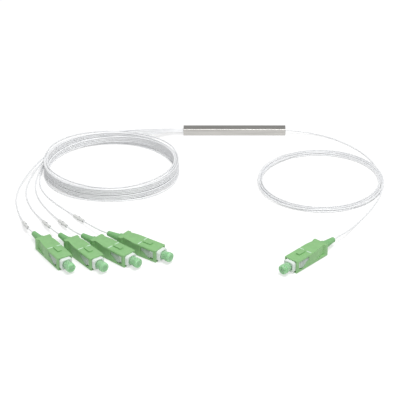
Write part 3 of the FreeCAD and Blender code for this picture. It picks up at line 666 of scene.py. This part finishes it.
for number, rank in enumerate(RANKS, start=1):
    plug = "output_%d" % number
    last = 360.0 * 6 + OUTPUT_LAST[number - 1] - LEAVES_BEFORE
    angles = np.arange(OUTPUT_FIRST + JOIN_BEFORE, last, 360 / POINTS_PER_TURN)
    rows = (UPPER_ROW + rank * TURN_STEP, LOWER_ROW + rank * TURN_STEP)
    rim = (max(rank - 0.5, LEAST_RIM), max(-rank - 0.5, LEAST_RIM))
    turns = coil_points(OUTPUT_COIL, OUTPUT_HALF, angles, OUTPUT_FIRST, rows, rim)
    rise = smooth_step((angles - angles[-1] + LAST_RISE) / LAST_RISE)
    turns[:, 2] += rise * (TAILS[plug][0][2] - rows[1])
    route = np.vstack([output_lead(rank), turns, TAILS[plug], boot_points(plug)])
    fibre = fibre_cord(plug + "_fibre", route)
    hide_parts("output_leads", "output_coil", plug + "_tail")
    fibres[plug] = fibre
    print("the", plug, "fibre has", len(route), "control points")

# %% [markdown]
# ## Grips and frames
# Both are injection moulded, so no outer edge is truly sharp.  The imported model has their exact
# form with plain edges.  A copy of each is merged into one skin, its coplanar triangles are
# joined again, and a bevel rounds every edge by a fraction of a millimetre.  The outer faces of the
# frame's two lugs get a rougher plastic of their own, whose darker grey-green is painted shade of
# the windows they sit in.

# %% Grips and frames
LUG_FACE = 4.1
GRIP_ROUNDING, FRAME_ROUNDING = 0.3, 0.25
SKIN_MERGE = 1e-6
FLAT_WITHIN = 0.01
ROUNDED_FROM = math.radians(30)
plug_pieces = {plug: [] for plug in PLUGS}


def skin_of(node):
    """A copy of a node's mesh as one skin with its flat faces joined."""
    mesh = nodes[node].data.copy()
    work = bmesh.new()
    work.from_mesh(mesh)
    bmesh.ops.remove_doubles(work, verts=work.verts, dist=SKIN_MERGE)
    bmesh.ops.dissolve_limit(work, angle_limit=FLAT_WITHIN, verts=work.verts, edges=work.edges)
    work.to_mesh(mesh)
    work.free()
    mesh.materials.clear()
    mesh.shade_smooth()
    return mesh


def sideways(mesh, plug):
    """How far each point of a mesh lies from the plug's upright middle plane, in millimetres."""
    origin, ways = plug_axes(plug)
    return np.abs((own_points(mesh) - origin) @ ways[1])


def moulded(plug, part, mesh, rounding_mm):
    """A moulded piece with rounded edges, which stands for its node."""
    node = plug + part
    piece = bpy.data.objects.new(node + "_moulding", mesh)
    link(piece)
    bevel = piece.modifiers.new("rounding", "BEVEL")
    bevel.width = rounding_mm * MM
    bevel.segments = 3
    bevel.limit_method = "ANGLE"
    bevel.angle_limit = ROUNDED_FROM
    bevel.harden_normals = True
    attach(piece, nodes[node]["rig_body"])
    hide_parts(node)
    plug_pieces[plug].append(piece)


for plug in PLUGS:
    mesh = skin_of(plug + "_grip")
    mesh.materials.append(grip_plastic)
    moulded(plug, "_grip", mesh, GRIP_ROUNDING)
    mesh = skin_of(plug + "_plug_frame")
    mesh.materials.append(frame_plastic)
    mesh.materials.append(lug_rough_painted_shade)
    away = sideways(mesh, plug)
    # the lugs' outer faces take the rougher material, whose darker colour is painted shade of the
    # windows
    rough_and_shaded = [bool(np.all(away[list(face.vertices)] > LUG_FACE)) for face in mesh.polygons]
    mesh.polygons.foreach_set("material_index", np.array(rough_and_shaded, dtype=np.int32))
    moulded(plug, "_plug_frame", mesh, FRAME_ROUNDING)
print("grips and frames rounded")

# %% [markdown]
# ## Paint lines and window ramps
# Two pale lines are printed across the grip beside its key: when both show, the plug is fully in.
# In the lower rear corner of each side window the grip has a small ramp, which lifts the latches of
# an adapter off the lugs when the plug is pulled.  Both are flat plates, so a few points give them.

# %% Paint lines and window ramps
GRIP_TOP = 3.7
LINE_ENDS = (-12.25, -11.65)
LINE_SIDES = (1.0, 4.1)
PAINT_DOWN, PAINT_UP = 0.11, 0.02
RAMP = [(-9.98, -2.48), (-4.6, -2.48), (-8.9, 0.4), (-9.98, 0.6)]
RAMP_SIDES = (4.24, 4.4)


def plate(name, plug, outline_points, low, high, way, material):
    """A flat piece: an outline in two of the plug's axes, given thickness along the third."""
    count = len(outline_points)
    flat = np.array(outline_points, float)
    layers = []
    for level in (low, high):
        if way == "up":
            layers.append(np.column_stack([flat, np.full(count, level)]))
        else:
            layers.append(np.column_stack([flat[:, 0], np.full(count, level), flat[:, 1]]))
    points = np.vstack(layers)
    faces = [tuple(range(count)), tuple(range(2 * count - 1, count - 1, -1))]
    faces += [(i, (i + 1) % count, count + (i + 1) % count, count + i) for i in range(count)]
    piece = mesh_piece(name, on_plug(plug, points), faces, material)
    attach(piece, nodes[plug + "_grip"]["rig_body"])
    plug_pieces[plug].append(piece)
    return piece


for plug in PLUGS:
    for side, sign in (("left", 1), ("right", -1)):
        (rear, front), (near, far) = LINE_ENDS, [sign * away for away in LINE_SIDES]
        line = [(rear, near), (front, near), (front, far), (rear, far)]
        top = (GRIP_TOP - PAINT_DOWN, GRIP_TOP + PAINT_UP)
        name = plug + "_" + side
        plate(name + "_line", plug, line, *top, "up", mark_paint)
        depth = [sign * away for away in RAMP_SIDES]
        piece = plate(name + "_ramp", plug, RAMP, *depth, "across", grip_plastic)
print("lines and ramps on", len(PLUGS), "plugs")

# %% [markdown]
# ## Boots, caps and ferrules
# These are round, so each is a profile carried round the plug's axis.  The boot tapers to the
# fibre in a shallow hollow curve, the cap is a hollow pin with a wider head, and the ferrule has
# a bevelled tip that is polished at eight degrees.

# %% Boots, caps and ferrules
FERRULE_TIP = 4.1
FERRULE_RADIUS = 1.25
POLISH = math.radians(8)


def round_piece(node, plug, profile, material, edit=None):
    """A turned piece on a plug's axis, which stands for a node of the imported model."""
    points, faces = turned(profile)
    if edit is not None:
        points = edit(points)
    piece = mesh_piece(node + "_turned", on_plug(plug, points), faces.tolist(), material)
    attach(piece, nodes[node]["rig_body"])
    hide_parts(node)
    plug_pieces[plug].append(piece)


def boot_profile():
    """Collar of radius 2.7 mm, a small step, then a taper whose radius falls from 2.2 to 1.45 mm
    as r = 1.45 + 0.75 (1 - s)^1.2 with s the share of the way; inside, the seat and the bore."""
    share = np.linspace(0.04, 0.96, 12)
    taper = np.column_stack([-27.7 - 8.0 * share, 1.45 + 0.75 * (1 - share) ** 1.2])
    front = [(-22.05, 0.5), (-22.05, 1.75), (-16.55, 1.75), (-16.55, 2.7), (-27.6, 2.7)]
    front += [(-27.6, 2.22)]
    corners = np.vstack([front, taper, [(-35.7, 1.45), (-35.7, 0.5)]])
    radii = [0.1, 0.1, 0.1, 0.15, 0.25, 0.05] + [0.2] * 12 + [0.6, 0.15]
    return soft_corners(corners, radii)


def cap_profile():
    """Mouth, stem, shoulder, head and closed end outside; inside, the bore for the ferrule."""
    corners = [
        (-2.4, 1.29),
        (-2.4, 2.4),
        (4.5, 2.4),
        (4.5, 2.65),
        (7.1, 2.65),
        (7.1, 0.0),
        (6.1, 0.0),
        (6.1, 1.29),
    ]
    return soft_corners(corners, [0.1, 0.2, 0.1, 0.1, 0.7, 0.01, 0.01, 0.2])


def ferrule_profile():
    """A rod from 4.1 back to -6.4 with a bevelled tip, and the fibre's fine hole."""
    corners = [(-6.4, 0.07), (-6.4, FERRULE_RADIUS), (3.7, FERRULE_RADIUS)]
    corners += [(FERRULE_TIP, 0.85), (FERRULE_TIP, 0.07)]
    return soft_corners(corners, [0.01, 0.12, 0.1, 0.08, 0.01])


def polished(points):
    """The tip's slope: no point lies further forward than 4.1 - (1.25 - z) tan 8 degrees."""
    limit = FERRULE_TIP - (FERRULE_RADIUS - points[:, 2]) * math.tan(POLISH)
    return np.column_stack([np.minimum(points[:, 0], limit), points[:, 1:]])


for plug in PLUGS:
    round_piece(plug + "_dust_cap", plug, cap_profile(), cap_plastic)
    round_piece(plug + "_boot", plug, boot_profile(), boot_rubber)
    tip = plug + "_ferrule"
    round_piece(tip, plug, ferrule_profile(), zirconia, polished)
print("boots, caps and ferrules turned for", len(PLUGS), "plugs")

# %% [markdown]
# ## Springs
# Behind each ferrule a round wire spring keeps the fibre's tip pressed against the one it meets.
# It's a grid too, whose rings are carried along a helix.  A spring can't ride on a joint, because
# only one of its ends moves; it runs between the ends of the imported spring and goes with its
# body.

# %% Springs
SPRING_RADIUS = 1.9
WIRE = 0.2
TURNS = 4
RINGS = 97
WIRE_SIDES = 10


def spring_points(rear, front):
    """Rings of a wire of radius w along a helix, with t from 0 to 1 and n turns: a ring's middle
    is (rear + w + (front - rear - 2 w) t, R cos 2 pi n t, R sin 2 pi n t), and its points lie w
    round that."""
    t = np.linspace(0, 1, RINGS)[:, None]
    around = 2 * math.pi * np.arange(WIRE_SIDES)[None, :] / WIRE_SIDES
    turn = 2 * math.pi * TURNS * t
    radius = SPRING_RADIUS + WIRE * np.cos(around)
    along = rear + WIRE + (front - rear - 2 * WIRE) * t + WIRE * np.sin(around)
    points = np.stack([along, radius * np.cos(turn), radius * np.sin(turn)], axis=-1)
    faces = grid_faces(RINGS, WIRE_SIDES, False).tolist()
    last_ring = [(RINGS - 1) * WIRE_SIDES + side for side in range(WIRE_SIDES)]
    faces += [list(range(WIRE_SIDES)), last_ring[::-1]]
    return points.reshape(-1, 3), faces


for plug in PLUGS:
    node = plug + "_spring"
    origin, ways = plug_axes(plug)
    places = (own_points(nodes[node].data) - origin) @ ways[0]
    rear, front = places.min(), places.max()
    points, faces = spring_points(rear, front)
    piece = mesh_piece(node + "_wound", on_plug(plug, points), faces, spring_wire)
    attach(piece, nodes[node]["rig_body"])
    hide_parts(node)
    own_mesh(piece)
    plug_pieces[plug].append(piece)
    print(plug, "spring is", round(front - rear, 2), "mm long at rest")

# %% [markdown]
# ## Numbered sleeves
# Each output fibre carries a slip of tube with its number, so that the outputs can be told apart
# when the coil is opened.  The tube is soft, so it bends with its fibre: a straight sleeve is made
# first, and then every point is carried to the same distance along the fibre's own line.  The
# digit is a few printed strokes, drawn on a flat strip and wrapped round the sleeve, and it is
# printed on two sides.

# %% Numbered sleeves
SLEEVE_RADIUS = 0.95
SLEEVE_BORE = 0.65
SLEEVE_HALF = 4.6
SLEEVE_SIDES = 24
BEND_OVER = 0.5
DIGIT_TURN = 0.9
STEPS_PER_STROKE = 8
INK_SUNK = 0.04
SLIPPED = {1: 2.4, 2: 1.0, 3: 0.4, 4: 0.0}
STROKE = 0.15
STROKES = {
    1: [[(-0.3, 0.45), (0.0, 0.75), (0.0, -0.75)]],
    2: [[(-0.45, 0.45), (-0.2, 0.72), (0.2, 0.72), (0.42, 0.4), (-0.45, -0.72), (0.45, -0.72)]],
    3: [[(-0.42, 0.7), (0.4, 0.7), (0.0, 0.12), (0.4, -0.2), (0.3, -0.62), (-0.42, -0.7)]],
    4: [[(0.2, -0.75), (0.2, 0.75), (-0.45, -0.25), (0.5, -0.25)]],
}


def along_fibre(line, start, points):
    """Carries points (x, y, z) of a straight sleeve to the fibre's line: the place at length
    start + x, plus y times the level direction across it and z times the upward one."""
    lengths = lengths_along(line)

    def at(length):
        return np.stack([np.interp(length, lengths, line[:, axis]) for axis in range(3)], axis=-1)

    place = at(start + points[:, 0])
    ahead = at(start + points[:, 0] + BEND_OVER) - at(start + points[:, 0] - BEND_OVER)
    ahead /= np.linalg.norm(ahead, axis=1, keepdims=True)
    across = np.cross([0.0, 0.0, 1.0], ahead)
    across /= np.linalg.norm(across, axis=1, keepdims=True)
    return place + points[:, 1:2] * across + points[:, 2:] * np.cross(ahead, across)


def wrapped(stroke, turn):
    """Points (u, v) of a flat strip laid round the sleeve as (u, r cos a, r sin a), where
    a = turn + v / r."""
    flat = np.array(stroke, float)
    corners = np.arange(len(flat))
    steps = np.linspace(0, len(flat) - 1, STEPS_PER_STROKE * (len(flat) - 1) + 1)
    u = np.interp(steps, corners, flat[:, 0])
    angle = turn + np.interp(steps, corners, flat[:, 1]) / SLEEVE_RADIUS
    radius = SLEEVE_RADIUS - INK_SUNK
    return np.column_stack([u, radius * np.cos(angle), radius * np.sin(angle)])


places = np.linspace(-SLEEVE_HALF, SLEEVE_HALF, 13)
sleeve_profile = [(-SLEEVE_HALF, SLEEVE_BORE)] + [(x, SLEEVE_RADIUS) for x in places]
sleeve_profile += [(x, SLEEVE_BORE) for x in places[:0:-1]]
corner_radii = [0.06, 0.12] + [0.1] * 11 + [0.12, 0.06] + [0.1] * 11
for number in range(1, 5):
    node = "number_sleeve_%d" % number
    line = own_line(fibres["output_%d" % number])
    middle = own_points(nodes[node].data).mean(axis=0)
    nearest = np.argmin(np.linalg.norm(line - middle, axis=1))
    start = lengths_along(line)[nearest] + SLIPPED[number]
    points, faces = turned(soft_corners(sleeve_profile, corner_radii), SLEEVE_SIDES)
    points = along_fibre(line, start, points)
    piece = mesh_piece(node + "_round", points, faces.tolist(), sleeve_plastic)
    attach(piece, "splitter")
    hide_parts(node)
    ink = bpy.data.curves.new(node + "_digit", "CURVE")
    ink.dimensions = "3D"
    ink.bevel_depth = STROKE * MM
    ink.use_fill_caps = True
    ink.materials.append(print_ink)
    for turn in (DIGIT_TURN, DIGIT_TURN + math.pi):
        for stroke in STROKES[number]:
            spots = along_fibre(line, start, wrapped(stroke, turn)) * MM
            strand = ink.splines.new("POLY")
            strand.points.add(len(spots) - 1)
            weighted = np.column_stack([spots, np.ones(len(spots))])
            strand.points.foreach_set("co", weighted.ravel())
    digit = bpy.data.objects.new(node + "_digit", ink)
    link(digit)
    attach(digit, "splitter")
    print("sleeve", number, "sits", round(start), "mm along its fibre")

# %% [markdown]
# ## Finishes of the pieces that keep their form
# The tube, the seals, the glass inside and the turned metal pieces are already right, so they
# only change their material.

# %% Finishes of the pieces that keep their form
kept = {
    "steel_tube": tube_steel,
    "input_end_seal": seal_compound,
    "output_end_seal": seal_compound,
    "splitter_chip": chip_glass,
    "input_fibre_block": chip_glass,
    "output_fibre_block": chip_glass,
    "bare_fibres": fibre_coating,
}
for plug in PLUGS:
    kept[plug + "_ferrule_flange"] = nickel
    kept[plug + "_stop_ring"] = nickel
for name, material in kept.items():
    for place in nodes[name].material_slots:
        place.material = material
print(len(kept), "pieces keep their form")

# %% [markdown]
# ## The fibres' lengths
# Each fibre's real length is measured on its own line, and the fibre goes with the splitter's
# body.

# %% The fibres' lengths
for plug, fibre in fibres.items():
    length = float(lengths_along(own_line(fibre))[-1]) * MM
    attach(fibre, "splitter")
    print(plug, "fibre", round(length, 3), "m")
